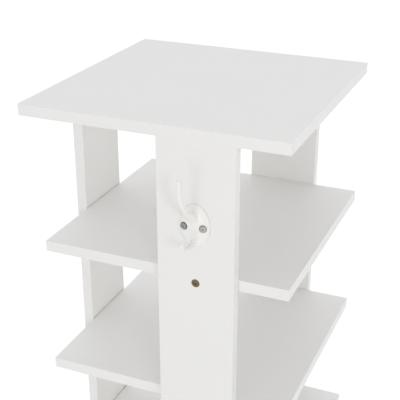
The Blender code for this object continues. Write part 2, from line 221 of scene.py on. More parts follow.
def turnedBody(bench, stations, sides):  # stations: radius, height and the round of that corner
    count = len(stations)
    index = bench.node("GeometryNodeInputIndex")

    def perCorner(kind, values):
        return bench.node("GeometryNodeIndexSwitch", {"data_type": kind, "items": count},
                          {0: index, **{number + 1: value for number, value in enumerate(values)}})

    points = [bench.node("ShaderNodeCombineXYZ", {}, {0: radius, 1: -height})
              for radius, height, _ in stations]
    corner = perCorner("VECTOR", points)
    rounding = perCorner("FLOAT", [station[2] for station in stations])
    line = bench.node("GeometryNodeMeshLine", {}, {"Count": count, "Offset": (0.0, mm, 0.0)})
    placed = bench.node("GeometryNodeSetPosition", {}, {"Geometry": line, "Position": corner})
    outline = bench.node("GeometryNodeMeshToCurve", {}, {"Mesh": placed})
    eased = bench.node("GeometryNodeFilletCurve", {"mode": "POLY"}, {
        "Curve": outline, "Count": turning["easeSteps"], "Radius": rounding, "Limit Radius": True})
    ring = bench.node("GeometryNodeCurvePrimitiveCircle", {}, {
        "Resolution": sides, "Radius": turning["axisRadius"]})
    skin = bench.node("GeometryNodeCurveToMesh", {}, {"Curve": ring, "Profile Curve": eased})
    return bench.node("GeometryNodeMergeByDistance", {}, {
        "Geometry": skin, "Distance": turning["mergeDistance"]})


def thread(bench, radius, start, length, turns, height):  # a ridge that winds down from start
    path = bench.node("GeometryNodeCurveSpiral", {}, {
        "Resolution": turning["threadSteps"], "Rotations": turns,
        "Start Radius": radius, "End Radius": radius, "Height": length})
    ridge = bench.node("GeometryNodeCurvePrimitiveCircle", {}, {
        "Resolution": turning["threadSides"], "Radius": height})
    coil = bench.node("GeometryNodeCurveToMesh", {}, {
        "Curve": path, "Profile Curve": ridge, "Fill Caps": True})
    drop = bench.node("ShaderNodeCombineXYZ", {}, {2: start - length})
    return bench.node("GeometryNodeTransform", {}, {"Geometry": coil, "Translation": drop})


def raised(bench, mesh, height, turn=0.0, scale=(1.0, 1.0, 1.0)):
    lift = bench.node("ShaderNodeCombineXYZ", {}, {2: height})
    return bench.node("GeometryNodeTransform", {}, {
        "Geometry": mesh, "Translation": lift, "Rotation": (0.0, 0.0, turn), "Scale": scale})


def crossRecess(bench, top, length, width, depth):  # two tapered blades that cross
    reach = length * math.sqrt(0.5)  # from the middle of a square to its corners
    wedge = bench.node("GeometryNodeMeshCone", {}, {
        "Vertices": 4, "Radius Top": reach, "Radius Bottom": reach * turning["bladeTaper"],
        "Depth": depth * 2})
    square = raised(bench, wedge, 0.0, math.pi / 4)
    squeeze = bench.node("ShaderNodeCombineXYZ", {}, {0: 1.0, 1: width / length, 2: 1.0})
    blade = raised(bench, square, top - depth, 0.0, squeeze)
    crossing = raised(bench, square, top - depth * turning["crossDrop"], math.pi / 2, squeeze)
    return bench.node("GeometryNodeMeshBoolean", {"operation": "UNION"}, {"Mesh 2": [blade, crossing]})


def cutOut(bench, body, cutters):
    return bench.node("GeometryNodeMeshBoolean", {"operation": "DIFFERENCE", "solver": "EXACT"}, {
        "Mesh 1": body, "Mesh 2": cutters, "Self Intersection": True})


def seatAll(bench, pieces, inputs, seed):  # 2 and 3 are a Random Value node's limits
    body = bench.node("GeometryNodeJoinGeometry", {}, {0: pieces})
    own = bench.node("GeometryNodeStoreNamedAttribute", {"data_type": "FLOAT_VECTOR"}, {
        "Geometry": body, "Name": "ownPlace", "Value": bench.node("GeometryNodeInputPosition")})
    upright = bench.node("FunctionNodeAlignRotationToVector", {"axis": "Z"}, {
        "Vector": carried(bench, "facing")})
    spin = bench.node("FunctionNodeRandomValue", {}, {2: 0.0, 3: 2 * math.pi, "Seed": seed}, 1)
    turn = bench.node("FunctionNodeAxisAngleToRotation", {}, {"Axis": (0.0, 0.0, 1.0), "Angle": spin})
    spun = bench.node("FunctionNodeRotateRotation", {"rotation_space": "LOCAL"}, {
        "Rotation": upright, "Rotate By": turn})
    placed = bench.node("GeometryNodeInstanceOnPoints", {}, {
        "Points": inputs["Seats"], "Instance": own, "Rotation": spun})
    # random tone of each piece: wear, and on the hook screws painted shade that darkens the left one
    wear = bench.node("FunctionNodeRandomValue", {}, {"Seed": seed + 1}, 1)
    wornAndShaded = bench.node("GeometryNodeStoreNamedAttribute", {"data_type": "FLOAT", "domain": "INSTANCE"}, {
        "Geometry": placed, "Name": "wear", "Value": wear})
    endTree(bench, wornAndShaded, inputs["finish"])


def addValues(mesh, name, kind, values):  # one value for each point
    layer = mesh.attributes.new(name, kind, "POINT")
    if kind == "FLOAT_VECTOR":
        layer.data.foreach_set("vector", [part for value in values for part in value])
    else:
        layer.data.foreach_set("value", values)


def plainMesh(name, mesh, bench, sizes, finish):  # runs the tree once and keeps what it makes
    holder = addObject(name + "Start", mesh)
    modifier = holder.modifiers.new(name, "NODES")
    modifier.node_group = bench.tree
    for socket in bench.tree.interface.items_tree:
        if socket.in_out == "INPUT" and socket.name in sizes:
            modifier[socket.identifier] = sizes[socket.name]
        if socket.in_out == "INPUT" and socket.name == "finish":
            modifier[socket.identifier] = finish
    made = evaluatedMesh(holder)
    made.name = name
    holder.modifiers.remove(modifier)
    bpy.data.objects.remove(holder)
    return addObject(name, made)


def setPieces(name, bench, sizes, finish, seats):  # one turned piece on every seat
    mesh = bpy.data.meshes.new(name + "Seats")
    mesh.from_pydata([place for place, _ in seats], [], [])
    addValues(mesh, "facing", "FLOAT_VECTOR", [outward for _, outward in seats])
    piece = plainMesh(name, mesh, bench, sizes, finish)
    piece.data.shade_smooth()
    piece.data.set_sharp_from_angle(angle=math.radians(turning["sharpAngle"]))
    return piece


# white melamine boards: pearl-embossed broad faces, banded edges with a hairline seam

boards = {
    "colour": (0.911, 0.901, 0.885),
    "darkest": 0.955,            # the mottling moves between these shares of the colour
    "lightest": 1.012,
    "plainTone": 0.62,
    "mottleTone": 0.42,
    "cloudTone": 0.16,
    "pearlTone": 0.12,
    "edgeTone": 0.10,
    "seamTone": 0.85,
    "roughness": 0.44,
    "cloudRoughness": 0.10,
    "pearlRoughness": 0.08,
    "edgeRoughness": 0.06,
    "mottleScale": 6.0,
    "cloudScale": 42.0,
    "pearlScale": 1150.0,
    "pearlDepth": 0.05 * mm,
    "pearlStrength": 0.35,
    "edgeSmooth": 0.7,           # share of the pearl that an edge band lacks
    "edgeToFace": (0.05, 0.75),  # how squarely a surface faces, from edge to broad face
    "seamInset": 0.55 * mm,      # hairline between an edge band and the face
    "seamWidth": 0.16 * mm,
    "seamRelief": 0.8,
}


def boardFinish(name, low, high):
    size = high - low
    thin = min(range(3), key=lambda axis: size[axis])
    middle = (low[thin] + high[thin]) / 2
    material, bench, shader = newFinish(name + "Melamine", IOR=1.48)
    place = bench.place()
    onFace = abs(bench.split(place.also("Normal"))[thin])
    onEdge = 1 - bench.between(onFace, *boards["edgeToFace"])
    inset = size[thin] / 2 - abs(bench.split(place)[thin] - middle)
    offSeam = abs(inset - boards["seamInset"])
    seam = onEdge * bench.between(offSeam, 0.0, boards["seamWidth"], start=1.0, end=0.0)
    mottle = bench.noise(place, boards["mottleScale"], detail=3.0)
    cloud = bench.noise(place, boards["cloudScale"])
    pearl = bench.noise(place, boards["pearlScale"], detail=1.5, roughness=0.6)
    tone = (boards["plainTone"] + boards["mottleTone"] * mottle - boards["cloudTone"] * cloud
            + boards["pearlTone"] * (pearl - noiseMiddle)
            + boards["edgeTone"] * onEdge - boards["seamTone"] * seam)
    colour = bench.tint(tone, scaled(boards["colour"], boards["darkest"]),
                        scaled(boards["colour"], boards["lightest"]))
    roughness = (boards["roughness"] + boards["cloudRoughness"] * (cloud - noiseMiddle)
                 + boards["pearlRoughness"] * (pearl - noiseMiddle) - boards["edgeRoughness"] * onEdge)
    relief = pearl * (1 - boards["edgeSmooth"] * onEdge) - boards["seamRelief"] * seam
    feed(bench, shader, Base_Color=colour, Roughness=roughness,
         Normal=bench.bump(relief, boards["pearlDepth"], boards["pearlStrength"]))
    return material


shelfNames = sorted(name for name in nodes if name.startswith("shelf_") and "screw" not in name)
for name in shelfNames:
    dress(nodes[name], boardFinish(name, *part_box(name)))
print("shoe tower:", len(shelfNames), "shelves finished")


# top and uprights: eased boards, drilled for their fixings and pulled tight where they meet

outwards = {"front": (0.0, -1.0, 0.0), "back": (0.0, 1.0, 0.0), "left": (-1.0, 0.0, 0.0)}
upwards = (0.0, 0.0, 1.0)
downwards = (0.0, 0.0, -1.0)
markKinds = {"board": 0, "straight": 1, "sunk": 2}  # what a point of a blank stands for
plainScale = (1.0, 1.0, 1.0)

drilling = {
    "sides": 48,
    "sinkRadius": 5.9 * mm,     # mouth of a countersunk hole
    "shankRadius": 3.65 * mm,
    "through": 15.0 * mm,
    "overcut": 1.0 * mm,
}
fitting = {
    "ease": 0.3 * mm,           # round of a banded edge
    "easeSteps": 3,
    "tightEase": 0.05 * mm,     # at the joint of top and uprights
    "tightSteps": 1,
    "joint": 0.02 * mm,
    "nearJoint": 0.1 * mm,      # corners this close to the joint's height belong to it
    "openJoint": 0.55 * mm,     # the shelves stand off the left upright by this much more
    "clear": 0.3 * mm,          # round a dowel, bolt, pin or cam
    "pinRadius": 1.5 * mm,
    "hookShankRadius": 1.8 * mm,
}


def inward(outward):
    return tuple(-part for part in outward)


def drillTree():
    bench, size = newTree("drillTree", drilling)
    kind = carried(bench, "kind", "INT")
    turn = bench.node("FunctionNodeAlignRotationToVector", {"axis": "Z"}, {
        "Vector": carried(bench, "facing")})

    def only(mark):  # 2 and 3 are the whole numbers that a Compare node takes
        chosen = bench.node("FunctionNodeCompare", {"data_type": "INT", "operation": "EQUAL"}, {
            2: kind, 3: markKinds[mark]})
        return bench.node("GeometryNodeSeparateGeometry", {}, {
            "Geometry": size["Seats"], "Selection": chosen})

    def drilled(cutter, mark, scale):
        placed = bench.node("GeometryNodeInstanceOnPoints", {}, {
            "Points": only(mark), "Instance": cutter, "Rotation": turn, "Scale": scale})
        return bench.node("GeometryNodeRealizeInstances", {}, {"Geometry": placed})

    rod = bench.node("GeometryNodeMeshCylinder", {}, {
        "Vertices": size["sides"], "Radius": 1.0, "Depth": 1.0})
    sunk = turnedBody(bench, [
        (0.0, size["overcut"], 0.0),
        (size["sinkRadius"] + size["overcut"], size["overcut"], 0.0),
        (size["shankRadius"], size["shankRadius"] - size["sinkRadius"], 0.0),
        (size["shankRadius"], -size["through"] - size["overcut"], 0.0),
        (0.0, -size["through"] - size["overcut"], 0.0),
    ], size["sides"])
    hanging = raised(bench, rod, -0.5)  # its top end is at the seat
    cutters = [drilled(hanging, "straight", carried(bench, "bore")), drilled(sunk, "sunk", plainScale)]
    endTree(bench, cutOut(bench, only("board"), cutters), size["finish"])
    return bench


def axisOf(outward):
    return [abs(part) > 0.5 for part in outward].index(True)


def boreFor(name, face, outward, radius=None):  # straight hole for a node, from a face of the board
    low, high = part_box(name)
    axis = axisOf(outward)
    place = (low + high) / 2
    place[axis] = face + outward[axis] * drilling["overcut"]
    widest = max((high - low)[other] for other in range(3) if other != axis) / 2
    deepest = low[axis] if outward[axis] > 0 else high[axis]
    radius = (radius or widest) + fitting["clear"]
    depth = abs(deepest - face) + fitting["clear"] + drilling["overcut"]
    return markKinds["straight"], place, outward, (radius, radius, depth)


def sinkFor(name, face, outward):
    low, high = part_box(name)
    place = (low + high) / 2
    place[axisOf(outward)] = face
    return markKinds["sunk"], place, outward, plainScale


def drilledBoard(name, low, high, jointHeight, holes, tree):
    bm = bmesh.new()
    middle = Matrix.Translation((low + high) / 2)
    bmesh.ops.create_cube(bm, size=1, matrix=middle @ Matrix.Diagonal((*(high - low), 1)))

    def atJoint(edge):
        return all(abs(corner.co.z - jointHeight) < fitting["nearJoint"] for corner in edge.verts)

    for tight, ease, steps in ((False, fitting["ease"], fitting["easeSteps"]),
                               (True, fitting["tightEase"], fitting["tightSteps"])):
        chosen = [edge for edge in bm.edges if atJoint(edge) == tight]
        bmesh.ops.bevel(bm, geom=chosen, offset=ease, segments=steps, profile=0.5, affect="EDGES")
    bmesh.ops.recalc_face_normals(bm, faces=bm.faces)
    blank = (markKinds["board"], None, upwards, upwards)
    seats = {bm.verts.new(hole[1]): hole for hole in holes}
    marks = [seats.get(corner, blank) for corner in bm.verts]
    mesh = meshFrom(bm, name + "Blank")
    addValues(mesh, "kind", "INT", [mark[0] for mark in marks])
    addValues(mesh, "facing", "FLOAT_VECTOR", [mark[2] for mark in marks])
    addValues(mesh, "bore", "FLOAT_VECTOR", [mark[3] for mark in marks])
    return plainMesh(name, mesh, tree, drilling, boardFinish(name, low, high))


def uprightHoles(side, low, high):
    outward = outwards[side]
    axis = axisOf(outward)
    outer, inner = (high[axis], low[axis]) if outward[axis] > 0 else (low[axis], high[axis])
    holes = [sinkFor(name, outer, outward) for name in sorted(nodes) if name.endswith("_screw_" + side)]
    holes.append(boreFor("cam_" + side, inner, inward(outward)))
    holes.append(boreFor("cam_bolt_" + side, high.z, upwards))
    for letter in "ab":
        holes.append(boreFor(f"dowel_{side}_{letter}", high.z, upwards))
        holes.append(boreFor(f"glide_{side}_{letter}", low.z, downwards, fitting["pinRadius"]))
        if side == "front":
            holes.append(boreFor(f"hook_screw_{letter}", outer, outward, fitting["hookShankRadius"]))
    return holes


drills = drillTree()
topLow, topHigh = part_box("top_panel")
topFixings = sorted(name for name in nodes if name.startswith(("cam_bolt_", "dowel_")))
topHoles = [boreFor(name, topLow.z, downwards) for name in topFixings]
boardPieces = {"top_panel": drilledBoard("topBoard", topLow, topHigh, topLow.z, topHoles, drills)}
for side in outwards:
    low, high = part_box("upright_" + side)
    high.z = topLow.z - fitting["joint"]
    if side == "left":
        high.x -= fitting["openJoint"]
    boardPieces["upright_" + side] = drilledBoard(
        side + "Upright", low, high, high.z, uprightHoles(side, low, high), drills)
for name, piece in boardPieces.items():
    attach(piece, "root")
    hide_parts(name)
    print("shoe tower:", piece.name, len(piece.data.polygons), "faces")


# beech dowels and cam bolts, which stay as the frame has them

beech = {
    "light": (0.66, 0.49, 0.31),
    "dark": (0.47, 0.31, 0.17),
    "stretch": (900.0, 900.0, 45.0),  # the grain is long along a dowel
    "grainScale": 1.0,
    "fleckScale": 3.2,
    "fleckRange": (0.60, 0.72),
    "grainTone": 0.9,
    "fleckTone": 0.35,
    "roughness": 0.62,
    "grainRoughness": 0.2,
    "fleckRelief": 0.5,
    "grainDepth": 0.08 * mm,
    "grainStrength": 0.4,
}
bolts = {
    "dark": (0.40, 0.40, 0.39),
    "light": (0.56, 0.56, 0.54),
    "hazeScale": 420.0,
    "stretch": (200.0, 200.0, 4200.0),  # turning lines go round a bolt
    "lineScale": 1.0,
    "roughness": 0.30,
    "hazeRoughness": 0.22,
    "lineDepth": 0.03 * mm,
    "lineStrength": 0.3,
}


def beechFinish():
    material, bench, shader = newFinish("rawBeech", IOR=1.45)
    along = bench.stretched(bench.place(), beech["stretch"])
    grain = bench.noise(along, beech["grainScale"], detail=3.0, roughness=0.65)
    fleck = bench.between(bench.noise(along, beech["fleckScale"], detail=1.0), *beech["fleckRange"])
    tone = grain * beech["grainTone"] + fleck * beech["fleckTone"]
    colour = bench.tint(tone, opaque(beech["light"]), opaque(beech["dark"]))
    relief = grain - fleck * beech["fleckRelief"]
    feed(bench, shader, Base_Color=colour,
         Roughness=beech["roughness"] + beech["grainRoughness"] * (grain - noiseMiddle),
         Normal=bench.bump(relief, beech["grainDepth"], beech["grainStrength"]))
    return material


def boltFinish():
    material, bench, shader = newFinish("platedBolt", Metallic=1.0)
    place = bench.place()
    haze = bench.noise(place, bolts["hazeScale"], detail=3.0)
    lines = bench.noise(bench.stretched(place, bolts["stretch"]), bolts["lineScale"])
    colour = bench.tint(haze, opaque(bolts["dark"]), opaque(bolts["light"]))
    feed(bench, shader, Base_Color=colour, Roughness=bolts["roughness"] + bolts["hazeRoughness"] * haze,
         Normal=bench.bump(lines, bolts["lineDepth"], bolts["lineStrength"]))
    return material


hiddenFinishes = {"dowel_": beechFinish(), "cam_bolt_": boltFinish()}
for name in nodes:
    for start, material in hiddenFinishes.items():
        if name.startswith(start):
            dress(nodes[name], material)
print("shoe tower: dowels and cam bolts finished")


# metal finish for turned pieces, which carry their own place from before they were set in the boards

metal = {
    "hazeScale": 900.0,
    "plainTone": 0.02,
    "hazeTone": 0.55,
    "ringTone": 0.06,
    "wearAndShadeTone": 0.55,
    "hazeRoughness": 0.20,
    "recessRoughness": 0.15,
    "recessEdge": 0.8,           # the recess's painted shade fades in from its radius to this share of it; a recessShade below zero makes it painted light
    "recessLip": 0.1,            # and from this share of its depth down
    "rimEdge": 0.7,
    "ringRelief": 0.5,
    "reliefDepth": 0.03 * mm,
    "reliefStrength": 0.25,
}


def ownPlace(bench):  # place on the piece itself, its height there and its distance from the axis
    own = bench.node("ShaderNodeAttribute", {"attribute_name": "ownPlace"}, {}, "Vector")
    across, over, height = bench.split(own)
    return own, height, bench.maths("SQRT", across * across + over * over, 0)


def turnedMetal(name, look):
    material, bench, shader = newFinish(name, Metallic=1.0)
    own, height, fromAxis = ownPlace(bench)
    # wear and painted shade, one value for each piece
    wear = bench.node("ShaderNodeAttribute", {"attribute_name": "wear"}, {}, "Fac")
    rings = bench.maths("SINE", fromAxis * (2 * math.pi / look["ringPitch"]), 0)
    haze = bench.noise(own, metal["hazeScale"], detail=3.0, roughness=0.6)
    # recessShade paints shade into a recess, and paints light there where it is below zero
    radius, depth = look["recessRadius"], look["recessDepth"]
    recess = bench.between(fromAxis, radius * metal["recessEdge"], radius, start=1.0, end=0.0)
    deep = recess * bench.between(height, -depth, -metal["recessLip"] * depth, start=1.0, end=0.0)
    # painted shade round a head's rim, less on the lighter screw
    rim = bench.between(fromAxis, look["rimRadius"] * metal["rimEdge"], look["rimRadius"]) * (1 - wear)
    tone = (metal["plainTone"] + metal["hazeTone"] * haze + metal["ringTone"] * rings
            + metal["wearAndShadeTone"] * wear - look["recessShade"] * deep - look["rimShade"] * rim)
    colour = bench.tint(tone, opaque(look["dark"]), opaque(look["light"]))
    roughness = (look["roughness"] + metal["hazeRoughness"] * (haze - noiseMiddle)
                 + metal["recessRoughness"] * deep)
    relief = rings * metal["ringRelief"] + haze
    feed(bench, shader, Base_Color=colour, Roughness=roughness,
         Normal=bench.bump(relief, metal["reliefDepth"], metal["reliefStrength"]))
    return material


def seatOf(name, outward):  # middle of the node's outer face
    low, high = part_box(name)
    reach = abs((high - low).dot(Vector(outward))) / 2
    return (low + high) / 2 + Vector(outward) * reach, outward


# connecting screws through the uprights into the shelf edges

shelfScrews = {
    "headRadius": 5.7 * mm,
    "shankRadius": 3.5 * mm,
    "coreRadius": 2.5 * mm,
    "shankEnd": 14.8 * mm,
    "length": 50.0 * mm,
    "pointLength": 4.0 * mm,
    "edgeRound": 0.25 * mm,
    "socketFlats": 4.0 * mm,
    "socketDepth": 1.1 * mm,
    "threadTurns": 10.0,
    "threadHeight": 0.9 * mm,
    "sides": 40,
}
screwSocket = {
    "leadInSides": 40,
    "drillSides": 24,
    "drillPoint": 0.01 * mm,
    "leadInMouth": 1.18,  # this and what follows are shares of the hexagon's corner radius
    "leadInFoot": 0.82,
    "leadInDepth": 0.36,
    "leadInDrop": 0.10,
    "drillMouth": 0.8,
    "drillDepth": 0.5,
    "drillDrop": 0.2,
}
shelfThreadGap = 2 * mm  # plain core above the thread
shelfScrewPoint = 0.4    # share of the core's radius


def shelfScrewTree():
    bench, size = newTree("shelfScrewTree", shelfScrews)
    neck = size["headRadius"] - size["shankRadius"]
    step = size["shankRadius"] - size["coreRadius"]
    body = turnedBody(bench, [
        (0.0, 0.0, 0.0),
        (size["headRadius"], 0.0, size["edgeRound"]),
        (size["shankRadius"], -neck, size["edgeRound"] * 2),
        (size["shankRadius"], step - size["shankEnd"], size["edgeRound"]),
        (size["coreRadius"], -size["shankEnd"], size["edgeRound"]),
        (size["coreRadius"], size["pointLength"] - size["length"], size["edgeRound"]),
        (size["coreRadius"] * shelfScrewPoint, -size["length"], size["edgeRound"]),
        (0.0, -size["length"], 0.0),
    ], size["sides"])
    corner = size["socketFlats"] / 2 / math.cos(math.pi / 6)
    hexagon = bench.node("GeometryNodeMeshCylinder", {}, {
        "Vertices": 6, "Radius": corner, "Depth": size["socketDepth"] * 2})
    leadIn = bench.node("GeometryNodeMeshCone", {}, {
        "Vertices": screwSocket["leadInSides"], "Radius Top": corner * screwSocket["leadInMouth"],
        "Radius Bottom": corner * screwSocket["leadInFoot"], "Depth": corner * screwSocket["leadInDepth"]})
    drill = bench.node("GeometryNodeMeshCone", {}, {
        "Vertices": screwSocket["drillSides"], "Radius Top": corner * screwSocket["drillMouth"],
        "Radius Bottom": screwSocket["drillPoint"], "Depth": corner * screwSocket["drillDepth"]})
    cutters = [hexagon, raised(bench, leadIn, corner * -screwSocket["leadInDrop"]),
               raised(bench, drill, -size["socketDepth"] - corner * screwSocket["drillDrop"])]
    ridge = thread(bench, size["coreRadius"], -size["shankEnd"] - shelfThreadGap,
                   size["length"] - size["shankEnd"] - size["pointLength"] - shelfThreadGap,
                   size["threadTurns"], size["threadHeight"])
    seatAll(bench, [cutOut(bench, body, cutters), ridge], size, seeds["shelfScrews"])
    return bench


# the socket is painted lighter: painted light for what its depth takes away
bronze = turnedMetal("bronzedSteel", {
    "dark": (0.085, 0.060, 0.033), "light": (0.335, 0.262, 0.175), "roughness": 0.42, "ringPitch": 0.45 * mm,
    "recessRadius": 2.7 * mm, "recessDepth": 1.1 * mm, "recessShade": -0.30,
    "rimRadius": 5.7 * mm, "rimShade": 0.0})
screwNames = sorted(name for name in nodes if "_screw_" in name and name.startswith("shelf_"))
screwSeats = [seatOf(name, outwards[name.split("_")[-1]]) for name in screwNames]
screws = setPieces("shelfScrews", shelfScrewTree(), shelfScrews, bronze, screwSeats)
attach(screws, "root")
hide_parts(*screwNames)
print("shoe tower:", len(screwNames), "shelf screws,", len(screws.data.polygons), "faces")


# round-headed screws of the hook

hookScrews = {
    "headRadius": 4.5 * mm,
    "headHeight": 2.6 * mm,
    "rimHeight": 1.0 * mm,
    "flatRadius": 2.7 * mm,
    "shankRadius": 1.8 * mm,
    "length": 15.5 * mm,
    "pointLength": 3.0 * mm,
    "edgeRound": 0.9 * mm,
    "recessLength": 3.8 * mm,
    "recessWidth": 0.85 * mm,
    "recessDepth": 0.7 * mm,
    "threadTurns": 7.0,
    "threadHeight": 0.5 * mm,
    "sides": 40,
}
hookThreadGap = 3 * mm  # plain shank above the thread
hookScrewShares = {     # of the radius, height or round that they go with
    "shoulder": 0.93,
    "shoulderHeight": 0.5,
    "rimTop": 0.6,
    "rimTopRound": 0.5,
    "rimFootRound": 0.15,
    "point": 0.15,
    "recessLift": 0.05,
}


def hookScrewTree():
    bench, size = newTree("hookScrewTree", hookScrews)
    share = hookScrewShares
    under = -size["headHeight"]
    point = under - size["length"]
    shoulder = size["rimHeight"] * share["shoulderHeight"] - size["headHeight"] * share["shoulderHeight"]
    body = turnedBody(bench, [
        (0.0, 0.0, 0.0),
        (size["flatRadius"], 0.0, size["edgeRound"] * 2),
        (size["headRadius"] * share["shoulder"], shoulder, size["edgeRound"]),
        (size["headRadius"], under + size["rimHeight"] * share["rimTop"],
         size["edgeRound"] * share["rimTopRound"]),
        (size["headRadius"], under, size["edgeRound"] * share["rimFootRound"]),
        (size["shankRadius"], under, 0.0),
        (size["shankRadius"], point + size["pointLength"], size["edgeRound"]),
        (size["shankRadius"] * share["point"], point, 0.0),
        (0.0, point, 0.0),
    ], size["sides"])
    cutters = crossRecess(bench, size["recessDepth"] * share["recessLift"], size["recessLength"],
                          size["recessWidth"], size["recessDepth"])
    ridge = thread(bench, size["shankRadius"], under - hookThreadGap,
                   size["length"] - size["pointLength"] - hookThreadGap,
                   size["threadTurns"], size["threadHeight"])
    seatAll(bench, [cutOut(bench, body, cutters), ridge], size, seeds["hookScrews"])
    return bench


# the cross recess is painted lighter, as painted light; the rim is painted darker, as painted shade
steel = turnedMetal("platedSteel", {
    "dark": (0.15, 0.15, 0.148), "light": (0.56, 0.56, 0.55), "roughness": 0.54, "ringPitch": 0.40 * mm,
    "recessRadius": 2.2 * mm, "recessDepth": 0.7 * mm, "recessShade": -0.12,
    "rimRadius": 4.5 * mm, "rimShade": 0.22})
hookScrewNames = ["hook_screw_a", "hook_screw_b"]
fixings = setPieces("hookScrews", hookScrewTree(), hookScrews, steel,
                    [seatOf(name, outwards["front"]) for name in hookScrewNames])
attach(fixings, "root")
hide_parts(*hookScrewNames)
print("shoe tower: hook screws,", len(fixings.data.polygons), "faces")


# cams in the inner faces of the uprights

cams = {
    "radius": 7.2 * mm,
    "length": 11.7 * mm,
    "edgeRound": 0.5 * mm,
    "rimWidth": 1.3 * mm,
    "dish": 0.35 * mm,
    "slotLength": 8.0 * mm,
    "slotWidth": 1.4 * mm,
    "slotDepth": 2.4 * mm,
    "sides": 48,
}
camShares = {"dishRound": 0.4, "rimRound": 0.3, "slotDrop": 0.5}  # of the edge's round and the dish


def camTree():
    bench, size = newTree("camTree", cams)
    floorRadius = size["radius"] - size["rimWidth"]
    body = turnedBody(bench, [
        (0.0, -size["dish"], 0.0),
        (floorRadius - size["dish"], -size["dish"], size["edgeRound"] * camShares["dishRound"]),
        (floorRadius, 0.0, size["edgeRound"] * camShares["rimRound"]),
        (size["radius"], 0.0, size["edgeRound"]),
        (size["radius"], -size["length"], size["edgeRound"]),
        (0.0, -size["length"], 0.0),
    ], size["sides"])
    cutters = crossRecess(bench, size["dish"] * -camShares["slotDrop"], size["slotLength"],
                          size["slotWidth"], size["slotDepth"])
    seatAll(bench, [cutOut(bench, body, cutters)], size, seeds["cams"])
    return bench


zinc = turnedMetal("castZinc", {
    "dark": (0.26, 0.265, 0.27), "light": (0.58, 0.585, 0.59), "roughness": 0.46, "ringPitch": 0.8 * mm,
    "recessRadius": 3.6 * mm, "recessDepth": 2.4 * mm, "recessShade": 0.45,
    "rimRadius": 7.2 * mm, "rimShade": 0.0})
camNames = ["cam_" + side for side in outwards]
camSeats = [seatOf("cam_" + side, inward(outward)) for side, outward in outwards.items()]
camDiscs = setPieces("topCams", camTree(), cams, zinc, camSeats)
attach(camDiscs, "root")
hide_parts(*camNames)
print("shoe tower: cams,", len(camDiscs.data.polygons), "faces")


# nylon glides under the uprights

glides = {
    "radius": 6.5 * mm,
    "soleRadius": 5.5 * mm,
    "height": 4.0 * mm,
    "soleRound": 1.0 * mm,
    "pinRadius": 1.5 * mm,
    "pinLength": 12.0 * mm,
    "sides": 40,
}
glideShares = {  # of the sole's round and the pin's radius
    "soleRound": 0.6,
    "topRound": 0.3,
    "rootRound": 0.2,
    "taperRound": 0.4,
    "taper": 2,
    "point": 0.33,
}
nylon = {
    "clean": (0.76, 0.75, 0.72),
    "scuffed": (0.52, 0.50, 0.46),
    "grainScale": 1400.0,
    "grainTone": 0.12,
    "scuffScale": 500.0,
    "scuffHeight": 0.4 * mm,          # only the sole is scuffed,
    "scuffRange": (3 * mm, 6 * mm),   # most of all near its edge
    "middleScuff": 0.4,
    "roughness": 0.48,
    "scuffRoughness": 0.25,
    "reliefDepth": 0.05 * mm,
    "reliefStrength": 0.3,
}


def glideTree():
    bench, size = newTree("glideTree", glides)
    share = glideShares
    top = -size["height"]
    pinEnd = top - size["pinLength"]
    body = turnedBody(bench, [
        (0.0, 0.0, 0.0),
        (size["soleRadius"], 0.0, size["soleRound"] * share["soleRound"]),
        (size["radius"], -size["soleRound"], size["soleRound"]),
        (size["radius"], top, size["soleRound"] * share["topRound"]),
        (size["pinRadius"], top, size["soleRound"] * share["rootRound"]),
        (size["pinRadius"], pinEnd + size["pinRadius"] * share["taper"],
         size["soleRound"] * share["taperRound"]),
        (size["pinRadius"] * share["point"], pinEnd, 0.0),
        (0.0, pinEnd, 0.0),
    ], size["sides"])
    seatAll(bench, [body], size, seeds["glides"])
    return bench


def nylonFinish():
    material, bench, shader = newFinish("whiteNylon", IOR=1.53)
    own, height, fromAxis = ownPlace(bench)
    grain = bench.noise(own, nylon["grainScale"])
    nearEdge = bench.between(fromAxis, *nylon["scuffRange"], start=nylon["middleScuff"])
    sole = bench.between(height, -nylon["scuffHeight"], 0.0) * nearEdge
    scuff = sole * bench.noise(own, nylon["scuffScale"], detail=4.0, roughness=0.7)
    colour = bench.tint(scuff + nylon["grainTone"] * grain, opaque(nylon["clean"]), opaque(nylon["scuffed"]))
    feed(bench, shader, Base_Color=colour, Roughness=nylon["roughness"] + nylon["scuffRoughness"] * scuff,
         Normal=bench.bump(grain + scuff, nylon["reliefDepth"], nylon["reliefStrength"]))
    return material


glideNames = sorted(name for name in nodes if name.startswith("glide_"))
glideSeats = [seatOf(name, downwards) for name in glideNames]
feet = setPieces("floorGlides", glideTree(), glides, nylonFinish(), glideSeats)
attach(feet, "root")
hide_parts(*glideNames)
print("shoe tower: glides,", len(feet.data.polygons), "faces")


# coat hook: plate, prongs and screw flats, remeshed to one casting with soft inner corners

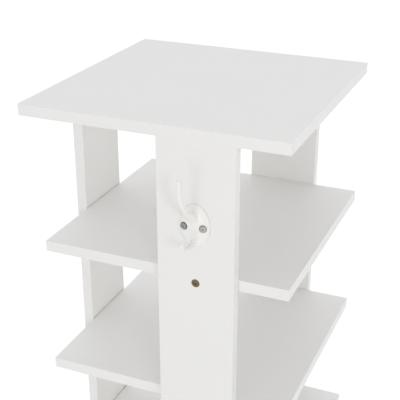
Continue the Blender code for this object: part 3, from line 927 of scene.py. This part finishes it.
hook = {
    "plateWidth": 39.0 * mm,
    "plateHeight": 56.0 * mm,
    "plateRim": 3.0 * mm,
    "plateCrown": 7.0 * mm,
    "plateSteps": 24,
    "plateSides": 96,
    "rimRound": 2.3 * mm,
    "rimPower": 11,             # how close to the rim the plate bends down
    "rootDepth": 1.5 * mm,
    "flare": 5.0,               # how fast a prong thins out from its root
    "upper": {"root": 14.8 * mm, "tip": 6.1 * mm, "start": 10.0 * mm, "rise": 74.1 * mm, "reach": 45.2 * mm,
              "leaves": 31.0, "leavesPull": 26.4 * mm, "arrives": 94.0, "arrivesPull": 33.0 * mm},
    "lower": {"root": 8.2 * mm, "tip": 5.95 * mm, "start": -19.0 * mm, "rise": -7.0 * mm, "reach": 37.0 * mm,
              "leaves": -32.0, "leavesPull": 17.1 * mm, "arrives": 156.0, "arrivesPull": 9.8 * mm},
    "prongSteps": 64,
    "prongSides": 32,
    "tipSteps": 9,
    "screwAcross": 12.5 * mm,
    "screwHole": 2.1 * mm,
    "seatRadius": 5.0 * mm,
    "seatHeight": 3.78 * mm,
    "seatSides": 48,
    "overcut": 1.0 * mm,
    "voxel": 0.36 * mm,
    "smoothing": 0.5,
    "softening": 12,            # rounds of smoothing over the remeshed skin
}
enamel = {
    "dark": (0.912, 0.901, 0.866),
    "light": (0.948, 0.940, 0.910),
    "plainTone": 0.55,
    "poolTone": 0.5,
    "peelTone": 0.25,
    "poolScale": 70.0,
    "peelScale": 650.0,
    "roughness": 0.36,
    "poolRoughness": 0.14,
    "peelDepth": 0.05 * mm,
    "peelStrength": 0.22,
}


def roundTurns(sides):
    return [2 * math.pi * step / sides for step in range(sides)]


def ringed(bm, rings):  # closed skin through rings of points
    loops = [[bm.verts.new(point) for point in ring] for ring in rings]
    for lower, upper in zip(loops, loops[1:]):
        for step in range(len(lower)):
            following = (step + 1) % len(lower)
            bm.faces.new((lower[step], lower[following], upper[following], upper[step]))
    bm.faces.new(reversed(loops[0]))
    bm.faces.new(loops[-1])


def oval(width, height, depth, sides):
    return [Vector((width / 2 * math.cos(turn), height / 2 * math.sin(turn), depth))
            for turn in roundTurns(sides)]


def plateRings():
    def plateOval(share, height):
        return oval(hook["plateWidth"] * share, hook["plateHeight"] * share, height, hook["plateSides"])

    rings = [plateOval(1.0, 0.0)]
    rise = hook["plateCrown"] - hook["plateRim"]
    for step in range(hook["plateSteps"], 0, -1):
        share = step / hook["plateSteps"]
        dome = hook["plateRim"] + rise * (1 - share ** 2)
        rings.append(plateOval(share, dome - hook["rimRound"] * share ** hook["rimPower"]))
    return rings


def prongRings(shape):
    steps = hook["prongSteps"]
    side = Vector((1, 0, 0))
    along = Vector((0, 0, 1))

    def lean(point, angle, pull):
        return point + pull * Vector((0, math.sin(math.radians(angle)), math.cos(math.radians(angle))))

    def ring(centre, radius):
        over = along.cross(side)
        return [centre + side * radius * math.cos(turn) + over * radius * math.sin(turn)
                for turn in roundTurns(hook["prongSides"])]

    start = Vector((0, shape["start"], hook["rootDepth"]))
    end = Vector((0, shape["rise"], shape["reach"]))
    path = interpolate_bezier(start, lean(start, shape["leaves"], shape["leavesPull"]),
                              lean(end, shape["arrives"], -shape["arrivesPull"]), end, steps + 1)
    rings = []
    for step, centre in enumerate(path):
        if step:
            along = (path[min(step + 1, steps)] - path[step - 1]).normalized()
        width = shape["tip"] + (shape["root"] - shape["tip"]) * (1 - step / steps) ** hook["flare"]
        rings.append(ring(centre, width / 2))
    for step in range(1, hook["tipSteps"]):
        turn = step / hook["tipSteps"] * math.pi / 2
        centre = path[-1] + along * shape["tip"] / 2 * math.sin(turn)
        rings.append(ring(centre, shape["tip"] / 2 * math.cos(turn)))
    return rings


def skinned(name, skins):
    bm = bmesh.new()
    for rings in skins:
        ringed(bm, rings)
    bmesh.ops.recalc_face_normals(bm, faces=bm.faces)
    return addObject(name, meshFrom(bm, name))


def addRemesh(body, name):
    remesh = body.modifiers.new(name, "REMESH")
    remesh.mode = "VOXEL"
    remesh.voxel_size = hook["voxel"]


def screwDrill(side):  # rings of a screw's hole and, from the seat up, its flat
    middle = Vector((side * hook["screwAcross"], 0, 0))
    stations = ((hook["screwHole"], -hook["overcut"]), (hook["screwHole"], hook["seatHeight"]),
                (hook["seatRadius"], hook["seatHeight"]),
                (hook["seatRadius"], hook["plateCrown"] + hook["overcut"]))
    return [[point + middle for point in oval(radius * 2, radius * 2, height, hook["seatSides"])]
            for radius, height in stations]


def hookCasting():
    body = skinned("hookBody", [plateRings(), prongRings(hook["upper"]), prongRings(hook["lower"])])
    drill = skinned("hookDrill", [screwDrill(-1), screwDrill(1)])
    addRemesh(body, "remesh")
    cut = body.modifiers.new("seats", "BOOLEAN")
    cut.operation = "DIFFERENCE"
    cut.solver = "EXACT"
    cut.object = drill
    addRemesh(body, "again")
    soften = body.modifiers.new("soften", "SMOOTH")
    soften.factor = hook["smoothing"]
    soften.iterations = hook["softening"]
    made = evaluatedMesh(body)
    for holder in (body, drill):
        bpy.data.objects.remove(holder)
    low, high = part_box("coat_hook")
    back = Vector(((low.x + high.x) / 2, high.y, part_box("hook_screw_a")[0].z + hookScrews["headRadius"]))
    made.transform(Matrix.Translation(back) @ Matrix.Rotation(math.pi / 2, 4, "X"))
    made.shade_smooth()
    return addObject("hookCasting", made)


def enamelFinish():
    material, bench, shader = newFinish("whiteEnamel", IOR=1.5, Coat_Weight=0.15, Coat_Roughness=0.16)
    place = bench.place()
    peel = bench.noise(place, enamel["peelScale"], detail=1.5)
    pool = bench.noise(place, enamel["poolScale"])
    tone = (enamel["plainTone"] + enamel["poolTone"] * (pool - noiseMiddle)
            + enamel["peelTone"] * (peel - noiseMiddle))
    colour = bench.tint(tone, opaque(enamel["dark"]), opaque(enamel["light"]))
    feed(bench, shader, Base_Color=colour,
         Roughness=enamel["roughness"] + enamel["poolRoughness"] * (pool - noiseMiddle),
         Normal=bench.bump(peel, enamel["peelDepth"], enamel["peelStrength"]))
    return material


casting = hookCasting()
dress(casting, enamelFinish())
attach(casting, "root")
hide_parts("coat_hook")
print("shoe tower: hook casting,", len(casting.data.polygons), "faces")


# studio: pale floor, a sky that is brightest behind the tower, two soft lamps in front

studio = {
    "floorSize": 40.0,
    "floorColour": (0.84, 0.84, 0.835),
    "floorRoughness": 0.9,
    "floorGlow": 0.40,          # only for the camera and reflections
    "fibreScale": 260.0,
    "fibreShares": (0.985, 1.01),
    "white": (1.0, 1.0, 1.0),
    "horizonColour": (1.0, 0.999, 0.996),
    "zenithColour": (0.966, 0.979, 1.0),
    "zenithHeight": 0.8,
    "skyLight": 0.110,          # from all round
    "backLight": 1.310,
    "frontLight": 0.430,
    "leftLight": 0.725,         # from high on the left
    "cornerLight": 0.420,       # from high in front on the right
    "highPower": 3.0,           # how closely those two keep to their directions
    "rightLight": 0.700,        # from a low band at the right
    "bandHeight": 0.22,
    "lamps": {  # place, what it points at, width, power, colour, whether reflections show it
        "frontLamp": ((0.06, -2.30, 1.04), (0.06, -0.15, 1.20), 0.85, 4.7, (1.0, 0.985, 0.96), True),
        "sideLamp": ((1.39, -1.74, 1.83), (0.06, -0.15, 1.24), 0.41, 5.2, (1.0, 0.985, 0.96), False),
    },
}


def whiteForCamera(bench):  # 1 for camera, glossy and see-through rays
    rays = bench.node("ShaderNodeLightPath", {}, {}, "Is Camera Ray")
    seen = bench.maths("MAXIMUM", rays, rays.also("Is Glossy Ray"))
    return bench.maths("MAXIMUM", seen, rays.also("Is Transmission Ray"))


def studioFloor():
    bm = bmesh.new()
    bmesh.ops.create_grid(bm, x_segments=8, y_segments=8, size=studio["floorSize"] / 2)
    floor = addObject("studioFloor", meshFrom(bm, "studioFloor"))
    material, bench, shader = newFinish("palePaper", Roughness=studio["floorRoughness"])
    fibre = bench.noise(bench.place(), studio["fibreScale"], detail=3.0)
    dark, light = [scaled(studio["floorColour"], share) for share in studio["fibreShares"]]
    feed(bench, shader, Base_Color=bench.tint(fibre, dark, light))
    glow = bench.node("ShaderNodeEmission", {}, {
        "Color": opaque(studio["white"]), "Strength": studio["floorGlow"]})
    paper = Wire(bench, shader.outputs[0])
    lit = bench.node("ShaderNodeAddShader", {}, {0: paper, 1: glow})
    choice = bench.node("ShaderNodeMixShader", {}, {0: whiteForCamera(bench), 1: paper, 2: lit})
    output = material.node_tree.nodes["Material Output"]
    material.node_tree.links.new(choice.socket, output.inputs["Surface"])
    dress(floor, material)


def studioSky():
    world = bpy.data.worlds.new("studioSky")
    world.use_nodes = True
    bpy.context.scene.world = world
    bench = Bench(world.node_tree)
    right, back, up = bench.split(bench.node("ShaderNodeTexCoord", {}, {}, "Generated"))
    level = up / studio["bandHeight"]
    low = bench.maths("POWER", math.e, -(level * level))

    def side(reach, power=1.0):  # light from one side, which fades to nothing at right angles to it
        return bench.maths("POWER", bench.maths("MAXIMUM", reach, 0.0), power)

    highLeft = (up - right) * math.sqrt(1 / 2)
    highCorner = (up + right - back) * math.sqrt(1 / 3)
    strength = (studio["skyLight"] + studio["backLight"] * side(back) + studio["frontLight"] * side(-back)
                + studio["leftLight"] * side(highLeft, studio["highPower"])
                + studio["cornerLight"] * side(highCorner, studio["highPower"])
                + studio["rightLight"] * low * side(right))
    colour = bench.tint(bench.between(up, 0.0, studio["zenithHeight"]),
                        opaque(studio["horizonColour"]), opaque(studio["zenithColour"]))
    sky = bench.node("ShaderNodeBackground", {}, {"Color": colour, "Strength": strength})
    white = bench.node("ShaderNodeBackground", {}, {"Color": opaque(studio["white"]), "Strength": 1.0})
    choice = bench.node("ShaderNodeMixShader", {}, {0: whiteForCamera(bench), 1: sky, 2: white})
    world.node_tree.nodes.remove(world.node_tree.nodes["Background"])
    world.node_tree.links.new(choice.socket, world.node_tree.nodes["World Output"].inputs["Surface"])


def aimed(place, ahead):  # stands at a place and looks ahead
    return Matrix.Translation(place) @ ahead.to_track_quat("-Z", "Y").to_matrix().to_4x4()


def studioLamp(name, place, target, width, power, colour, reflected):
    data = bpy.data.lights.new(name, "AREA")
    data.shape = "DISK"
    data.size = width
    data.energy = power
    data.color = colour
    lamp = addObject(name, data)
    lamp.matrix_world = aimed(place, Vector(target) - Vector(place))
    lamp.visible_glossy = reflected


studioFloor()
studioSky()
for name, values in studio["lamps"].items():
    studioLamp(name, *values)
print("shoe tower: studio lit")


# camera where the photograph was taken from

view = {
    "place": (0.4362, -1.0173, 1.6684),
    "heading": -23.058,      # degrees from straight ahead, to the left
    "down": 24.258,
    "focalPixels": 890.1,    # focal length in pixels of a picture 400 wide
    "pictureWidth": 400,
    "sensor": 36.0,
}


def placeCamera():
    heading = math.radians(view["heading"])
    down = math.radians(view["down"])
    ahead = Vector((math.sin(heading) * math.cos(down), math.cos(heading) * math.cos(down), -math.sin(down)))
    data = bpy.data.cameras.new("photoCamera")
    data.sensor_width = view["sensor"]
    data.lens = view["focalPixels"] * view["sensor"] / view["pictureWidth"]
    camera = addObject("photoCamera", data)
    camera.matrix_world = aimed(view["place"], ahead)
    bpy.context.scene.camera = camera


placeCamera()
bpy.context.scene.view_settings.view_transform = "Standard"
print("shoe tower: camera set")
